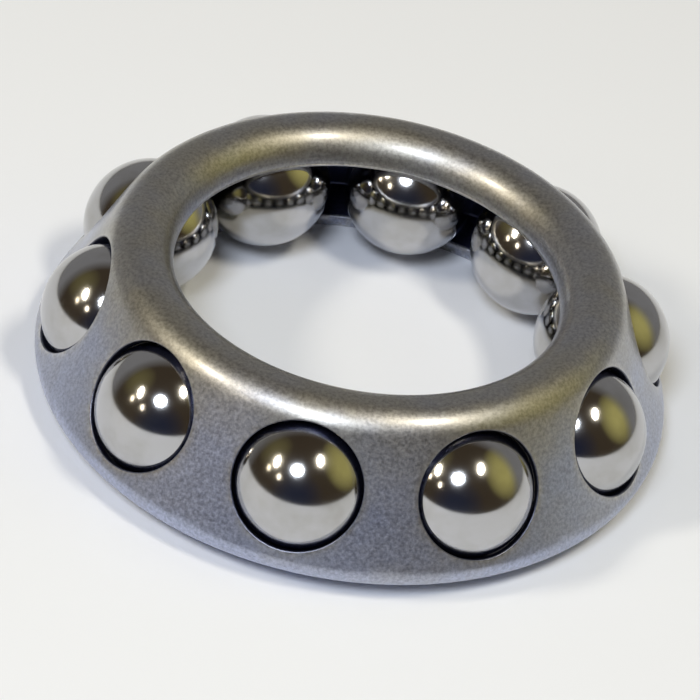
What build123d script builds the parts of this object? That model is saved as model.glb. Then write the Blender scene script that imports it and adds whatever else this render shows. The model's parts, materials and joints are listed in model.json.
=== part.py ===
from build123d import *
import os
from math import cos, pi, radians, sin, sqrt, tan

# Caged ball thrust bearing of the angular kind that carries a steering worm: a ring of steel
# balls in a pressed steel cage. Its two races belong to the parts that it runs between.
#
# Millimetres. +Z is the ring's axis, towards its small end. The origin is the ring's centre,
# on the plane that the cage stands on. Ball 01 faces -Y, and the others follow anticlockwise.
#
# The cage is one piece of sheet, a C-shaped channel that opens towards the axis. In a section
# through a ball, "out" is the pocket's axis, square to the wall, and "up" runs along the wall.

# Balls
ball_count = 10
ball_d = 7.938            # standard 5/16 in steel ball
ball_gap = 0.93           # between two neighbouring balls

# Cage
sheet_t = 0.75
wall_angle = 27.5         # degrees from the ring's axis to the wall
wall_seat = 1.7           # from a ball's centre out to the wall's inside face
shoulder_in_r = 1.25      # inside radius of the rolled shoulder at the small end
shoulder_bite = 0.22      # how far a pocket cuts into the shoulder's curve
corner_in_r = 0.14        # inside radius of the bend between wall and flange
flange_w = 3.54           # width of the flange, from the outer corner to its bore
foot_w = 0.4              # width of the flat land that the cage stands on
seat_coin = 0.01          # how much coining opens the inside edge of a punched pocket
pocket_rise = 0.12        # a pocket's middle over its ball's centre, as a ball lies low in it

# Running clearances around a ball
pocket_clear = 0.03       # to the coined inside edge of its pocket
flange_clear = 0.033      # to the flange
lip_clear = 0.033         # to the end of the lip

# Derived: balls
ball_r = ball_d / 2
ball_circle_r = (ball_d + ball_gap) / 2 / sin(pi / ball_count)
ball_step = 360 / ball_count

# Derived: cage. Heights in the section are counted from the ball's centre.
out = Vector(cos(radians(wall_angle)), sin(radians(wall_angle)))
up = Vector(-sin(radians(wall_angle)), cos(radians(wall_angle)))
ball_centre = Vector(ball_circle_r, 0)
wall_out = wall_seat + sheet_t
pocket_r = sqrt((ball_r + pocket_clear) ** 2 - wall_seat ** 2) - seat_coin
shoulder_rise = pocket_rise + pocket_r - shoulder_bite
flange_drop = ball_r + flange_clear + sheet_t
shoulder_centre = ball_centre + out * (wall_seat - shoulder_in_r) + up * shoulder_rise
corner_centre = ball_centre + out * (wall_seat - corner_in_r) - up * (flange_drop - sheet_t - corner_in_r)
outer_corner = ball_centre + out * wall_out - up * flange_drop
flange_bore_r = outer_corner.X - flange_w * cos(radians(wall_angle))
foot_z = outer_corner.Y - (outer_corner.X - flange_bore_r - foot_w) * tan(radians(wall_angle))
lip_reach = ball_circle_r - (shoulder_centre.X - shoulder_in_r)
lip_end_z = sqrt((ball_r + lip_clear) ** 2 - lip_reach ** 2)
ball_z = -foot_z


def flange_point(depth, radius):
    """Point of the flange at a radius, as deep in the sheet as depth below its outside face."""
    face = outer_corner + up * depth
    return Vector(radius, face.Y - (face.X - radius) * tan(radians(wall_angle)))


def bends(depth):
    """The bend at the flange and the rolled shoulder of the skin at a depth in the sheet."""
    corner = CenterArc(corner_centre, corner_in_r + sheet_t - depth, wall_angle - 90, 90)
    shoulder = CenterArc(shoulder_centre, shoulder_in_r + sheet_t - depth, wall_angle, 180 - wall_angle)
    return corner, shoulder


def lip_point(depth):
    """End of the lip on the skin at a depth in the sheet."""
    return Vector(shoulder_centre.X - shoulder_in_r - sheet_t + depth, lip_end_z)


def channel_section():
    """Closed section of the cage, in the plane of the ring's axis."""
    corner, shoulder = bends(0)
    corner_in, shoulder_in = bends(sheet_t)
    foot_outside = flange_point(0, flange_bore_r + foot_w)
    foot_inside = Vector(flange_bore_r, foot_z)
    bore_top = flange_point(sheet_t, flange_bore_r)
    outline = [
        Line(foot_outside, corner @ 0), corner,
        Line(corner @ 1, shoulder @ 0), shoulder,
        Line(shoulder @ 1, lip_point(0)),
        Line(lip_point(0), lip_point(sheet_t)),
        Line(lip_point(sheet_t), shoulder_in @ 1), shoulder_in,
        Line(shoulder_in @ 0, corner_in @ 1), corner_in,
        Line(corner_in @ 0, bore_top),
        Line(bore_top, foot_inside),
        Line(foot_inside, foot_outside),
    ]
    return Plane.XZ * (Pos(0, ball_z) * make_face(outline))


def around(index):
    """Turns a shape in the X half plane to the place of one ball; ball 1 faces -Y."""
    return Rot(0, 0, ball_step * (index - 1) - 90)


def along_pocket(shape):
    """Turns +Z to the pocket's axis and +X up the wall, with the ball's centre as origin."""
    return Plane((ball_circle_r, 0, ball_z), x_dir=(up.X, 0, up.Y), z_dir=(out.X, 0, out.Y)) * shape


def cage():
    """The pressed ring, with a round hole and a coined seat for each ball."""
    to_outside = (Align.CENTER, Align.CENTER, Align.MIN)
    hole = along_pocket(Pos(pocket_rise, 0, 0) * Cylinder(pocket_r, wall_out + ball_r, align=to_outside))
    seat = along_pocket(Sphere(ball_r + pocket_clear))
    places = [around(index) for index in range(1, ball_count + 1)]
    ring = revolve(channel_section(), Axis.Z)
    ring -= [place * hole for place in places]
    return ring - [place * seat for place in places]


def ball(index):
    return around(index) * Pos(ball_circle_r, 0, ball_z) * Sphere(ball_r)


os.makedirs("parts", exist_ok=True)
export_step(cage(), "parts/cage.step")
for index in range(1, ball_count + 1):
    export_step(ball(index), f"parts/ball_{index:02d}.step")

print("ball circle diameter", round(2 * ball_circle_r, 3))
print("pocket diameter", round(2 * pocket_r, 3))
print("lip bore diameter", round(2 * lip_point(0).X, 3))
print("flange bore diameter", round(2 * flange_bore_r, 3))
print("way between balls, diameter", round(2 * (ball_circle_r - ball_r), 3))
mouth = (lip_point(sheet_t) - flange_point(sheet_t, flange_bore_r)).length
print("mouth of the channel", round(mouth, 3), "for a ball of", ball_d)
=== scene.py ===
import json

import bmesh
import bpy
import numpy as np
from mathutils import Matrix, Vector


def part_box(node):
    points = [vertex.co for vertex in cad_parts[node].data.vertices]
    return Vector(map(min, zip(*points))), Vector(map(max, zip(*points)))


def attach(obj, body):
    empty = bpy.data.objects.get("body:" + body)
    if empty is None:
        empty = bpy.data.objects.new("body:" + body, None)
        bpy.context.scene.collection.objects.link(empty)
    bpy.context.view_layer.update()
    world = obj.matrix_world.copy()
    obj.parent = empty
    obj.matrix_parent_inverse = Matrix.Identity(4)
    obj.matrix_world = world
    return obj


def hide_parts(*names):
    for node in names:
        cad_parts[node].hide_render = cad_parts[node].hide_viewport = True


# Caged ball thrust bearing: ten lapped balls in a pressed and tumbled steel cage.
# Metres, in the frame's own axes: +Z along the ring towards its small end.

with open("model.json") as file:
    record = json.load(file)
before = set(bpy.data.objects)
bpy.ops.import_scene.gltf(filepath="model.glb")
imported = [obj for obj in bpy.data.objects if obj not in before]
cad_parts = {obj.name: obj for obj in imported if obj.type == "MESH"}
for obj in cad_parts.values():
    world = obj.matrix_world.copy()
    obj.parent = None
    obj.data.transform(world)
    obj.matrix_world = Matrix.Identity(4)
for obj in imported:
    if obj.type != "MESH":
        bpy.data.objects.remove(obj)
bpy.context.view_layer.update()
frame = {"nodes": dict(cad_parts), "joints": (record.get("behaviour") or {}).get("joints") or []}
print("frame loaded:", len(frame["nodes"]), "nodes")

# Where the balls sit, from the joints that they roll on
rollJoints = {joint["child"]: joint for joint in frame["joints"]}
ballNames = sorted(rollJoints)
ballCentres = np.array([rollJoints[name]["pos_m"] for name in ballNames])
rollAxes = np.array([rollJoints[name]["axis"] for name in ballNames])
ballLow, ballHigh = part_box(ballNames[0])
ballRadius = (ballHigh.z - ballLow.z) / 2
ballTurns = np.arctan2(ballCentres[:, 1], ballCentres[:, 0])
ballCircle = np.hypot(ballCentres[0, 0], ballCentres[0, 1])
ballHeight = ballCentres[0, 2]
wallAngle = np.arccos(rollAxes[0, 2])               # from the ring's axis to the wall
outWay = np.array([np.cos(wallAngle), np.sin(wallAngle)])    # (radius, height), square to the wall
upWay = np.array([-np.sin(wallAngle), np.cos(wallAngle)])    # (radius, height), along the wall


# ---- node trees ----

def newMaterial(name):
    material = bpy.data.materials.new(name)
    material.use_nodes = True
    tree = material.node_tree
    return material, tree, tree.nodes["Principled BSDF"]


def addNode(tree, kind, inputs={}, **settings):
    # A node with its settings; an input is a number, a colour, or another node's output socket
    node = tree.nodes.new(kind)
    for key, value in settings.items():
        setattr(node, key, value)
    for key, value in inputs.items():
        if isinstance(value, bpy.types.NodeSocket):
            tree.links.new(value, node.inputs[key])
        else:
            node.inputs[key].default_value = value
    return node


def noise(tree, where, scale, detail=2.0, rough=0.5):
    inputs = {"Vector": where, "Scale": scale, "Detail": detail, "Roughness": rough}
    return addNode(tree, "ShaderNodeTexNoise", inputs).outputs["Fac"]


def spread(tree, value, low, high, toLow=0.0, toHigh=1.0):
    # Straight-line change of range, held inside the new one
    inputs = {"Value": value, "From Min": low, "From Max": high, "To Min": toLow, "To Max": toHigh}
    return addNode(tree, "ShaderNodeMapRange", inputs).outputs["Result"]


def maths(tree, operation, first, second):
    return addNode(tree, "ShaderNodeMath", {0: first, 1: second}, operation=operation).outputs[0]


def mixColour(tree, factor, first, second):
    inputs = {"Factor": factor, 6: first, 7: second}
    return addNode(tree, "ShaderNodeMix", inputs, data_type="RGBA").outputs[2]


def attribute(tree, name):
    return addNode(tree, "ShaderNodeAttribute", attribute_name=name).outputs["Fac"]


# ---- meshes from grids ----

def gridQuads(rows, columns, firstIndex, closed):
    # Four corners of every cell, going along a row first; a closed grid joins its last column to its first
    row = np.arange(rows - 1)[:, None]
    column = np.arange(columns if closed else columns - 1)[None, :]
    after = (column + 1) % columns
    near, far = row * columns, (row + 1) * columns
    corners = [near + column, near + after, far + after, far + column]
    return np.stack(np.broadcast_arrays(*corners), axis=-1).reshape(-1, 4) + firstIndex


def meshObject(name, grids, material, weld):
    # grids: list of (points[rows, columns, 3], closed, facing, {attribute: values[rows, columns]})
    points = np.concatenate([grid[0].reshape(-1, 3) for grid in grids])
    starts = np.cumsum([0] + [grid[0].shape[0] * grid[0].shape[1] for grid in grids[:-1]])
    quads = []
    for (places, closed, facing, _), start in zip(grids, starts):
        cells = gridQuads(places.shape[0], places.shape[1], start, closed)
        quads.append(cells if facing > 0 else cells[:, ::-1])
    quads = np.concatenate(quads).astype(np.int32)
    mesh = bpy.data.meshes.new(name)
    mesh.vertices.add(len(points))
    mesh.vertices.foreach_set("co", points.astype(np.float32).ravel())
    mesh.loops.add(quads.size)
    mesh.loops.foreach_set("vertex_index", quads.ravel())
    mesh.polygons.add(len(quads))
    mesh.polygons.foreach_set("loop_start", np.arange(0, quads.size, 4, dtype=np.int32))
    mesh.polygons.foreach_set("loop_total", np.full(len(quads), 4, dtype=np.int32))
    mesh.update(calc_edges=True)
    for key in grids[0][3]:
        values = np.concatenate([grid[3][key].ravel() for grid in grids])
        layer = mesh.attributes.new(key, "FLOAT", "POINT")
        layer.data.foreach_set("value", values.astype(np.float32))
    work = bmesh.new()
    work.from_mesh(mesh)
    bmesh.ops.remove_doubles(work, verts=work.verts, dist=weld)
    openEdges = sum(1 for edge in work.edges if len(edge.link_faces) != 2)
    work.to_mesh(mesh)
    work.free()
    mesh.polygons.foreach_set("use_smooth", np.ones(len(mesh.polygons), dtype=bool))
    mesh.materials.append(material)
    piece = bpy.data.objects.new(name, mesh)
    bpy.context.scene.collection.objects.link(piece)
    print(name, "faces:", len(mesh.polygons), "open edges:", openEdges)
    return piece


# ---- cage ----

cageSet = {
    "sheet": 0.00075,
    "wallSeat": 0.0017,          # ball's centre out to the wall's inside face
    "shoulderInside": 0.00125,   # inside radius of the rolled shoulder
    "shoulderBite": 0.00022,     # how far a pocket cuts into the shoulder's curve
    "cornerInside": 0.00014,     # inside radius of the bend at the flange
    "flangeWidth": 0.00354,      # outer corner to the flange's bore
    "footWidth": 0.0004,         # flat land under the flange
    "seatCoin": 0.00001,         # how much coining opens the inside edge of a pocket
    "pocketRise": 0.00012,       # a pocket's middle over its ball's centre
    "pocketClear": 0.00003,
    "flangeClear": 0.000033,
    "lipClear": 0.000033,
    "rimRound": 0.00007,         # tumbled edge of a pocket, outside
    "seatRound": 0.00004,        # the same, inside
    "endRound": 0.00016,         # sheared ends of the sheet
    "acrossSteps": 26,           # cells across one pocket's share of the ring
    "alongSteps": 24,            # cells up the same patch
    "skinSteps": 13,             # rings of cells from a pocket's rim to its patch's border
    "wallSteps": 7,              # cells through the sheet
    "rimSteps": 5,               # cells over a pocket's outside edge
    "seatSteps": 2,              # the same, inside
    "patchBelow": 0.8,
    "patchAbove": 0.85,
    "wornReach": 0.00022,        # how far the rubbed edge of a pocket fades out
    "weld": 2e-7,                # points closer than this become one
    "lipPoints": 27,             # section points round the rest of the shoulder
    "bendPoints": 9,             # the same, round the rest of the flange's bend
    "flangeCells": 9,            # section cells along the flange
    "cornerSteps": 4,            # cells over each rounded end of the sheet
    "skinRounds": 40,            # rounds until a skin point settles
    "rimRounds": 12,             # rounds until a rim point settles
}

sheet = cageSet["sheet"]
wallOut = cageSet["wallSeat"] + sheet
seatRadius = ballRadius + cageSet["pocketClear"]
pocketRadius = np.sqrt(seatRadius ** 2 - cageSet["wallSeat"] ** 2) - cageSet["seatCoin"]
pocketRise = cageSet["pocketRise"]
shoulderOut = cageSet["shoulderInside"] + sheet
cornerOut = cageSet["cornerInside"] + sheet
riseStraight = pocketRise + pocketRadius - cageSet["shoulderBite"]
dropStraight = ballRadius + cageSet["flangeClear"] - cageSet["cornerInside"]
shoulderTurn = np.pi - wallAngle
pocketShare = np.pi / len(ballNames)                # half of one pocket's share of the ring


def sectionPoint(along, depth):
    # The cage's section as (radius, height). "along" runs up the outside skin from the middle of a
    # pocket: the straight wall, then an arc into the lip above or into the flange below. "depth" goes
    # into the sheet, and only shortens the arcs' radii.
    along, depth = np.broadcast_arrays(np.asarray(along, float), np.asarray(depth, float))
    straight = np.clip(along, -dropStraight, riseStraight)
    turnUp = np.clip((along - riseStraight) / shoulderOut, 0, shoulderTurn)
    lipRun = np.clip(along - riseStraight - shoulderOut * shoulderTurn, 0, None)
    turnDown = np.clip((-dropStraight - along) / cornerOut, 0, np.pi / 2)
    flangeRun = np.clip(-dropStraight - along - cornerOut * np.pi / 2, 0, None)
    arcUp, arcDown = shoulderOut - depth, cornerOut - depth
    radius = ballCircle + outWay[0] * (wallOut - depth) + upWay[0] * straight
    radius = radius + arcUp * (np.cos(wallAngle + turnUp) - outWay[0])
    radius = radius + arcDown * (np.cos(wallAngle - turnDown) - outWay[0]) - outWay[0] * flangeRun
    height = ballHeight + outWay[1] * (wallOut - depth) + upWay[1] * straight - lipRun
    height = height + arcUp * (np.sin(wallAngle + turnUp) - outWay[1])
    height = height + arcDown * (np.sin(wallAngle - turnDown) - outWay[1]) - outWay[1] * flangeRun
    return np.stack([radius, height], axis=-1)


def skinPoint(along, turn, depth):
    # The section turned about the ring's axis
    section = sectionPoint(along, depth)
    radius, height = section[..., 0], section[..., 1]
    return np.stack([radius * np.cos(turn), radius * np.sin(turn), height], axis=-1)


def pocketFrame(points):
    # (across, along, out) of points near the pocket on +X, counted from its ball's centre
    radial, height = points[..., 0] - ballCircle, points[..., 2] - ballHeight
    along = radial * upWay[0] + height * upWay[1]
    out = radial * outWay[0] + height * outWay[1]
    return points[..., 1], along, out


def fromPocketFrame(across, along, out):
    radial = ballCircle + along * upWay[0] + out * outWay[0]
    height = ballHeight + along * upWay[1] + out * outWay[1]
    return np.stack([radial, across, height], axis=-1)


def onSkin(across, along, depth):
    # Section place and turn of the skin point that stands over (across, along); each round moves it
    # by what is still missing
    place, turn = along.copy(), across / ballCircle
    for _ in range(cageSet["skinRounds"]):
        points = skinPoint(place, turn, depth)
        isAcross, isAlong, _ = pocketFrame(points)
        place = place + along - isAlong
        turn = turn + (across - isAcross) / ballCircle
    return place, turn


def pocketReach(angles, out):
    # From the hole's middle to its edge: the punched circle, or the sphere that the ball's seat is
    # coined to where that is wider. The sphere's middle lies "pocketRise" below the hole's.
    seat = np.sqrt(np.maximum(seatRadius ** 2 - out ** 2, 0))
    beside = pocketRise * np.cos(angles)
    coined = np.sqrt(np.maximum(seat ** 2 - beside ** 2, 0)) - pocketRise * np.sin(angles)
    return np.maximum(pocketRadius, coined)


def rimOnSkin(angles, margin, depth):
    # Where the pocket's wall meets the skin at a depth, "margin" outside the hole
    reach = np.full_like(angles, pocketRadius)
    for _ in range(cageSet["rimRounds"]):
        across, along = (reach + margin) * np.cos(angles), pocketRise + (reach + margin) * np.sin(angles)
        place, turn = onSkin(across, along, depth)
        out = pocketFrame(skinPoint(place, turn, depth))[2]
        reach = pocketReach(angles, out)
    return place, turn, out


def bend(start, corner, end, steps):
    # Curve that leaves "start" towards "corner" and arrives at "end" from it
    t = np.linspace(0, 1, steps + 1).reshape((-1,) + (1,) * start.ndim)
    return (1 - t) ** 2 * start + 2 * t * (1 - t) * corner + t ** 2 * end


def borderLoop(low, high):
    # (place, turn) once round a pocket's patch: bottom, right, top, left
    across = np.linspace(-pocketShare, pocketShare, cageSet["acrossSteps"] + 1)
    along = np.linspace(low, high, cageSet["alongSteps"] + 1)
    level, side = np.ones(len(across) - 1), np.ones(len(along) - 1)
    place = np.concatenate([low * level, along[:-1], high * level, along[:0:-1]])
    turn = np.concatenate([across[:-1], pocketShare * side, across[:0:-1], -pocketShare * side])
    return place, turn


# A patch ends partway round both bends, at these angles in radians
patchLow = -dropStraight - cornerOut * cageSet["patchBelow"]
patchHigh = riseStraight + shoulderOut * cageSet["patchAbove"]


def pocketPatch():
    # One pocket's share of the sheet on +X, as rings of points: from the patch's border over the
    # outside skin to the rim, through the sheet, and over the inside skin back to the border
    place, turn = borderLoop(patchLow, patchHigh)
    across, along, _ = pocketFrame(skinPoint(place, turn, 0.0))
    angles = np.arctan2(along - pocketRise, across)
    rimRound, seatRound = cageSet["rimRound"], cageSet["seatRound"]
    share = (np.linspace(1, 0, cageSet["skinSteps"] + 1) ** 1.5)[:, None]

    def skinRings(margin, depth):
        rimPlace, rimTurn, _ = rimOnSkin(angles, margin, depth)
        return skinPoint(rimPlace + (place - rimPlace) * share, rimTurn + (turn - rimTurn) * share, depth)

    outside, inside = skinRings(rimRound, 0.0), skinRings(seatRound, sheet)
    topOut, lowOut = rimOnSkin(angles, 0.0, 0.0)[2], rimOnSkin(angles, 0.0, sheet)[2]

    def onWall(out):
        reach = pocketReach(angles, out)
        return fromPocketFrame(reach * np.cos(angles), pocketRise + reach * np.sin(angles), out)

    rimSteps, seatSteps = cageSet["rimSteps"], cageSet["seatSteps"]
    rim = bend(outside[-1], onWall(topOut), onWall(topOut - rimRound), rimSteps)
    through = np.linspace(0, 1, cageSet["wallSteps"] + 1)[:, None]
    wall = onWall((topOut - rimRound) * (1 - through) + (lowOut + seatRound) * through)
    edge = bend(onWall(lowOut + seatRound), onWall(lowOut), inside[-1], seatSteps)
    rings = np.concatenate([outside, rim[1:], wall[1:], edge[1:], inside[::-1][1:]])
    # The edge is rubbed outside; past it, the rim, the pocket's wall and the inside skin get painted shade
    fade = np.exp(-np.linalg.norm(outside - outside[-1], axis=-1) / cageSet["wornReach"])
    worn, paintedShade = np.zeros(rings.shape[:2]), np.ones(rings.shape[:2])
    worn[:len(outside)] = fade
    paintedShade[:len(outside)] = 0.0
    # the rim's round gets part of the painted shade
    paintedShade[len(outside):len(outside) + rimSteps] = 0.6
    return rings, worn, paintedShade


def turned(points, angle):
    cosine, sine = np.cos(angle), np.sin(angle)
    x, y = points[..., 0], points[..., 1]
    return np.stack([x * cosine - y * sine, x * sine + y * cosine, points[..., 2]], axis=-1)


def cornerCuts(before, corner, after, size):
    # Start and end of a rounded corner, "size" back along each leg
    first = before - corner
    second = after - corner
    start = corner + first / np.linalg.norm(first) * size
    end = corner + second / np.linalg.norm(second) * size
    return bend(start, corner, end, cageSet["cornerSteps"])


def lipSection():
    # From the patch's upper border over the shoulder, down the lip, round its end and back inside
    lipReach = ballCircle - sectionPoint(riseStraight + shoulderOut * shoulderTurn, sheet)[0]
    endHeight = ballHeight + np.sqrt((ballRadius + cageSet["lipClear"]) ** 2 - lipReach ** 2)
    arcEnd = riseStraight + shoulderOut * shoulderTurn
    end = arcEnd + sectionPoint(arcEnd, 0.0)[1] - endHeight
    shoulder = np.linspace(patchHigh, arcEnd, cageSet["lipPoints"])
    places = np.concatenate([shoulder, [(arcEnd + end) / 2]])
    outside, inside = sectionPoint(places, 0.0), sectionPoint(places, sheet)
    tips = sectionPoint(end, 0.0), sectionPoint(end, sheet)
    middle = (tips[0] + tips[1]) / 2
    size = cageSet["endRound"] * 1.6
    return [outside[:-1], cornerCuts(outside[-2], tips[0], middle, size),
            cornerCuts(middle, tips[1], inside[-2], size), inside[:-1][::-1]]


def flangeSection():
    # From the patch's lower border round the bend, along the flange, over the foot and the bore, and
    # back along the inside
    width, foot = cageSet["flangeWidth"], cageSet["footWidth"]
    arcEnd = -dropStraight - cornerOut * np.pi / 2
    outsideRun = width - foot / outWay[0] - cornerOut
    footOutside = sectionPoint(arcEnd - outsideRun, 0.0)
    footInside = footOutside - [foot, 0]
    innerStart = sectionPoint(arcEnd, sheet)
    innerRun = (innerStart[0] - footInside[0]) / outWay[0]
    boreTop = sectionPoint(arcEnd - innerRun, sheet)
    arc = np.linspace(patchLow, arcEnd, cageSet["bendPoints"])
    run = np.linspace(0, 1, cageSet["flangeCells"] + 1)[1:-1]
    outside = sectionPoint(np.concatenate([arc, arcEnd - outsideRun * run]), 0.0)
    inside = sectionPoint(np.concatenate([arc, arcEnd - innerRun * run]), sheet)
    size = cageSet["endRound"]
    return [outside, cornerCuts(outside[-1], footOutside, footInside, size * 0.5),
            cornerCuts(footOutside, footInside, boreTop, size * 0.7),
            cornerCuts(footInside, boreTop, inside[-1], size), inside[::-1]]


def turnedSection(parts, levels, turns):
    # A section carried round the ring, with how much painted shade and how worn each stretch is
    section = np.concatenate(parts)
    paintedShade = np.concatenate([np.full(len(part), level[0]) for part, level in zip(parts, levels)])
    worn = np.concatenate([np.full(len(part), level[1]) for part, level in zip(parts, levels)])
    radius, height = section[:, :1], section[:, 1:]
    points = np.stack([radius * np.cos(turns), radius * np.sin(turns), height + 0 * turns], axis=-1)
    flat = np.ones_like(turns)
    return points, {"worn": worn[:, None] * flat, "paintedShade": paintedShade[:, None] * flat}


def buildCage(material):
    rings, worn, paintedShade = pocketPatch()
    grids = [(turned(rings, angle), True, 1, {"worn": worn, "paintedShade": paintedShade}) for angle in ballTurns]
    across = np.linspace(-pocketShare, pocketShare, cageSet["acrossSteps"] + 1)[:-1]
    turns = (np.sort(np.mod(ballTurns, 2 * np.pi))[:, None] + across).ravel()[None, :]
    # levels for each stretch: (painted shade, worn)
    lip, lipLook = turnedSection(lipSection(), [(0, 0), (0, 0.8), (0.5, 0.8), (1, 0)], turns)
    flange, flangeLook = turnedSection(flangeSection(), [(0, 0), (0, 1), (0, 1), (0.3, 0.8), (1, 0)], turns)
    grids.append((lip, True, 1, lipLook))
    grids.append((flange, True, -1, flangeLook))
    return meshObject("pressed_cage", grids, material, cageSet["weld"])


tumbledSteel = {
    "warm": (0.365, 0.352, 0.322, 1),    # warm tint: partly random patches of tone, partly painted reflection of the warm lamps towards the shoulder
    "cool": (0.36, 0.395, 0.53, 1),      # tone of the bare sheet, made blue as painted shade where the wall lies low
    "inside": (0.035, 0.04, 0.09, 1),    # painted shade: near-black blue for the pocket walls and the inside skin
    "rubbed": (0.52, 0.51, 0.49, 1),     # bare metal on the edges
    "roughness": (0.36, 0.46),
    "warmthHeights": (0.0062, 0.0088),     # the painted warm reflection grows between these heights, towards the shoulder
    "oil": 0.6,                          # weight of the thin clear coat of oil
    "oilRoughness": 0.15,
    "grain": 5200.0,                     # noise scales, per metre
    "pits": 1500.0,
    "clouds": 140.0,
    "speck": (0.74, 1.24),               # how much the grain darkens and lightens the colour
    "bumpStrength": 0.3,
    "bumpDepth": 0.00003,
}


def buildTumbledSteel():
    # Tumbling leaves an even satin with fine pits: two noises for the grain, and a slow one for random patches
    # of warm tone.
    # The warm tint also grows towards the shoulder as painted reflection of the warm lamps, and the blue below
    # it is painted shade
    material, tree, shader = newMaterial("tumbled_steel")
    where = addNode(tree, "ShaderNodeTexCoord").outputs["Object"]
    clouds = noise(tree, where, tumbledSteel["clouds"], 3.0, 0.6)
    grain = noise(tree, where, tumbledSteel["grain"], 3.0, 0.65)
    pits = noise(tree, where, tumbledSteel["pits"], 2.0, 0.5)
    paintedShade, worn = attribute(tree, "paintedShade"), attribute(tree, "worn")
    height = addNode(tree, "ShaderNodeSeparateXYZ", {"Vector": where}).outputs["Z"]
    low, high = tumbledSteel["warmthHeights"]
    # painted warm reflection: the tint turns warm towards the shoulder, under the warm lamps
    paintedWarmth = spread(tree, height, low, high, 0.0, 0.75)
    patchy = spread(tree, clouds, 0.40, 0.70, -0.1, 0.45)
    tintShare = spread(tree, maths(tree, "ADD", paintedWarmth, patchy), 0.0, 1.0)
    skin = mixColour(tree, tintShare, tumbledSteel["cool"], tumbledSteel["warm"])
    rubbed = maths(tree, "MULTIPLY", worn, spread(tree, pits, 0.35, 0.6, 0.25, 0.9))
    skin = mixColour(tree, rubbed, skin, tumbledSteel["rubbed"])
    # painted shade: the pocket walls, the rim and the inside skin turn near black
    skin = mixColour(tree, paintedShade, skin, tumbledSteel["inside"])
    speck = spread(tree, grain, 0.3, 0.7, *tumbledSteel["speck"])
    shade = addNode(tree, "ShaderNodeMix", {"Factor": 1.0, 6: skin, 7: speck},
                    data_type="RGBA", blend_type="MULTIPLY")
    tree.links.new(shade.outputs[2], shader.inputs["Base Color"])
    both = maths(tree, "ADD", maths(tree, "MULTIPLY", clouds, 0.5), maths(tree, "MULTIPLY", grain, 0.5))
    rough = spread(tree, both, 0.35, 0.65, *tumbledSteel["roughness"])
    rough = maths(tree, "SUBTRACT", rough, maths(tree, "MULTIPLY", rubbed, 0.1))
    tree.links.new(rough, shader.inputs["Roughness"])
    shader.inputs["Metallic"].default_value = 1.0
    shader.inputs["Coat Weight"].default_value = tumbledSteel["oil"]
    shader.inputs["Coat Roughness"].default_value = tumbledSteel["oilRoughness"]
    bumps = maths(tree, "ADD", maths(tree, "MULTIPLY", grain, 0.8), maths(tree, "MULTIPLY", pits, 0.5))
    inputs = {"Strength": tumbledSteel["bumpStrength"], "Distance": tumbledSteel["bumpDepth"], "Height": bumps}
    bump = addNode(tree, "ShaderNodeBump", inputs)
    tree.links.new(bump.outputs["Normal"], shader.inputs["Normal"])
    return material


cage = buildCage(buildTumbledSteel())
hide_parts("cage")
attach(cage, "cage")
print("cage done")


# ---- balls ----

ballSet = {
    "cells": 42,                 # cells along each side of the six patches that cover a ball
    "trackWidth": 0.16,          # half width of the rolling track, as a share of the radius
    "weld": 2e-7,                # points closer than this become one
}


def spherePatches(cells):
    # A ball's surface as six square grids: tangents of even angles on a cube's faces, pushed out to
    # unit length, so that the cells are nearly equal and there is no pole
    even = np.tan(np.linspace(-np.pi / 4, np.pi / 4, cells + 1))
    first, second = np.meshgrid(even, even, indexing="ij")
    one = np.ones_like(first)
    faces = [(one, first, second, 1), (-one, first, second, -1), (second, one, first, 1),
             (second, -one, first, -1), (first, second, one, 1), (first, second, -one, -1)]
    patches = []
    for x, y, z, facing in faces:
        way = np.stack([x, y, z], axis=-1)
        patches.append((way / np.linalg.norm(way, axis=-1, keepdims=True), -facing))
    return patches


def buildBall(name, centre, axis, material):
    out = np.cross(np.cross(axis, [0, 0, 1.0]), axis)
    out = out / np.linalg.norm(out)
    tilt = np.stack([np.cross(axis, out), out, axis])
    grids = []
    for ways, facing in spherePatches(ballSet["cells"]):
        fromTrack = np.abs(ways[..., 2]) / ballSet["trackWidth"]
        track = np.exp(-fromTrack ** 2)
        grids.append((centre + ballRadius * (ways @ tilt), False, facing, {"track": track}))
    piece = meshObject(name + "_lapped", grids, material, ballSet["weld"])
    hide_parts(name)
    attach(piece, name)


lappedSteel = {
    "clean": (0.50, 0.50, 0.515, 1),
    "filmed": (0.43, 0.425, 0.42, 1),    # where a trace of oil dulls it
    "roughness": (0.10, 0.15),
    "trackDulling": 0.02,
    "smears": 420.0,                     # noise scales, per metre
    "lapping": 16000.0,
    "bumpStrength": 0.04,
    "bumpDepth": 0.00001,
}


def buildLappedSteel():
    # Mirror with faint smears of oil, hairline lapping marks, and a slightly duller rolling track
    material, tree, shader = newMaterial("lapped_steel")
    where = addNode(tree, "ShaderNodeTexCoord").outputs["Object"]
    smears = noise(tree, where, lappedSteel["smears"], 3.0, 0.6)
    marks = noise(tree, where, lappedSteel["lapping"], 2.0, 0.5)
    track = attribute(tree, "track")
    tintShare = spread(tree, smears, 0.42, 0.68)
    skin = mixColour(tree, tintShare, lappedSteel["clean"], lappedSteel["filmed"])
    tree.links.new(skin, shader.inputs["Base Color"])
    low, high = lappedSteel["roughness"]
    dulled = maths(tree, "MULTIPLY", track, lappedSteel["trackDulling"])
    rough = maths(tree, "ADD", spread(tree, smears, 0.4, 0.7, low, high), dulled)
    tree.links.new(rough, shader.inputs["Roughness"])
    shader.inputs["Metallic"].default_value = 1.0
    inputs = {"Strength": lappedSteel["bumpStrength"], "Distance": lappedSteel["bumpDepth"], "Height": marks}
    bump = addNode(tree, "ShaderNodeBump", inputs)
    tree.links.new(bump.outputs["Normal"], shader.inputs["Normal"])
    return material


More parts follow.
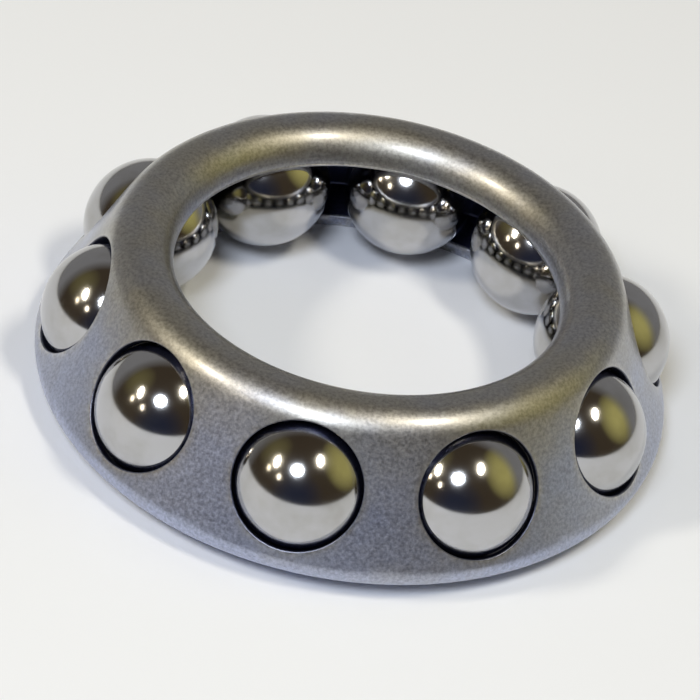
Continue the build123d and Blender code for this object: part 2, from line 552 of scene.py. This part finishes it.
ballSteel = buildLappedSteel()
for name, centre, axis in zip(ballNames, ballCentres, rollAxes):
    buildBall(name, centre, axis, ballSteel)
print("balls done:", len(ballNames))


# ---- floor, light, camera ----

stageSet = {
    "floorSize": 6.0,
    "floor": (0.82, 0.85, 0.93, 1),
    "floorRoughness": 0.7,
    "room": (0.065, 0.048, 0.030, 1),    # dim brown room on the camera's side
}

# Broad patches of the room: azimuth from the camera, elevation, radius in degrees where the patch is
# full and where it ends, colour. Later ones lie over earlier ones.
glows = [
    (97, 34, 8, 36, (0.56, 0.50, 0.17, 1)),          # walls round the warm lamps
    (-92, 44, 3, 26, (0.17, 0.145, 0.06, 1)),
    (-5, 10, 12, 44, (0.022, 0.026, 0.048, 1)),      # dark side that the camera stands on
    (180, -24, 72, 92, (0.26, 0.255, 0.25, 1)),      # pale backdrop that curves up behind
]


def buildFloor():
    half = stageSet["floorSize"] / 2
    mesh = bpy.data.meshes.new("floor")
    corners = [(-half, -half, 0), (half, -half, 0), (half, half, 0), (-half, half, 0)]
    mesh.from_pydata(corners, [], [(0, 1, 2, 3)])
    material, _, shader = newMaterial("pale_floor")
    shader.inputs["Base Color"].default_value = stageSet["floor"]
    shader.inputs["Roughness"].default_value = stageSet["floorRoughness"]
    mesh.materials.append(material)
    floor = bpy.data.objects.new("floor", mesh)
    bpy.context.scene.collection.objects.link(floor)


def wayFrom(azimuth, elevation):
    # Unit vector towards a place; azimuth 0 is -Y, growing towards +X
    turn, lift = np.radians(azimuth), np.radians(elevation)
    return Vector((np.sin(turn) * np.cos(lift), -np.cos(turn) * np.cos(lift), np.sin(lift)))


middle = Vector((0, 0, ballHeight))
cameraSet = {
    "azimuth": 5.84,
    "elevation": 37.76,
    "roll": 10.83,
    "distance": 0.2042,
    "lens": 182.5,               # millimetres, on a sensor 36 wide
    "aimAcross": -0.00050,       # the ring stands a little off the middle of the view
    "aimUp": -0.00134,
}


def buildCamera():
    back = wayFrom(cameraSet["azimuth"], cameraSet["elevation"])
    level = Vector((0, 0, 1)).cross(back).normalized()
    roll = np.radians(cameraSet["roll"])
    right = level * np.cos(roll) + back.cross(level) * np.sin(roll)
    up = back.cross(right)
    place = middle + back * cameraSet["distance"]
    aim = middle + right * cameraSet["aimAcross"] + up * cameraSet["aimUp"]
    back = (place - aim).normalized()
    right = up.cross(back).normalized()
    up = back.cross(right)
    camera = bpy.data.cameras.new("camera")
    camera.lens = cameraSet["lens"]
    camera.sensor_width = 36
    camera.clip_start = 0.005
    camera.clip_end = 20
    shooter = bpy.data.objects.new("camera", camera)
    turn = Matrix((right, up, back)).transposed().to_4x4()
    shooter.matrix_world = Matrix.Translation(place) @ turn
    bpy.context.scene.collection.objects.link(shooter)
    bpy.context.scene.camera = shooter


# Azimuth from the camera, elevation, distance, width, height, turn, watts, colour
lamps = {
    "flash": (-15, 51, 0.55, 0.18, 0.17, 0, 1.6, (0.86, 0.92, 1.0)),
    "lampLeft": (-65, 42, 0.60, 0.08, 0.17, 45, 1.1, (1.0, 0.91, 0.72)),
    "lampRight": (58, 64, 0.60, 0.09, 0.18, -45, 1.25, (1.0, 0.92, 0.74)),
    "farLeft": (-67, 27, 0.70, 0.06, 0.10, 45, 0.10, (1.0, 0.85, 0.6)),
    "farFront": (-42, 29, 0.70, 0.06, 0.10, 30, 0.13, (1.0, 0.88, 0.66)),
}


def buildLamps():
    for name, (azimuth, elevation, distance, width, height, turn, watts, colour) in lamps.items():
        lamp = bpy.data.lights.new(name, "AREA")
        lamp.shape = "ELLIPSE"
        lamp.size, lamp.size_y = width, height
        lamp.energy = watts
        lamp.color = colour
        way = wayFrom(cameraSet["azimuth"] + azimuth, elevation)
        shape = bpy.data.objects.new(name, lamp)
        shape.location = middle + way * distance
        facing = way.to_track_quat("Z", "Y").to_matrix() @ Matrix.Rotation(np.radians(turn), 3, "Z")
        shape.rotation_euler = facing.to_euler()
        bpy.context.scene.collection.objects.link(shape)


def buildRoom():
    # A dim room, with a few broad patches that fade with the angle from their middle
    world = bpy.data.worlds.new("room")
    world.use_nodes = True
    tree = world.node_tree
    ways = addNode(tree, "ShaderNodeTexCoord").outputs["Generated"]
    colour = stageSet["room"]
    for azimuth, elevation, inside, outside, glow in glows:
        way = wayFrom(cameraSet["azimuth"] + azimuth, elevation)
        near = addNode(tree, "ShaderNodeVectorMath", {0: ways, 1: way}, operation="DOT_PRODUCT")
        edge, core = np.cos(np.radians(outside)), np.cos(np.radians(inside))
        share = spread(tree, near.outputs["Value"], edge, core)
        colour = mixColour(tree, share, colour, glow)
    tree.links.new(colour, tree.nodes["Background"].inputs["Color"])
    bpy.context.scene.world = world


buildFloor()
buildRoom()
buildLamps()
buildCamera()
bpy.context.scene.view_settings.view_transform = "Standard"
print("stage done")
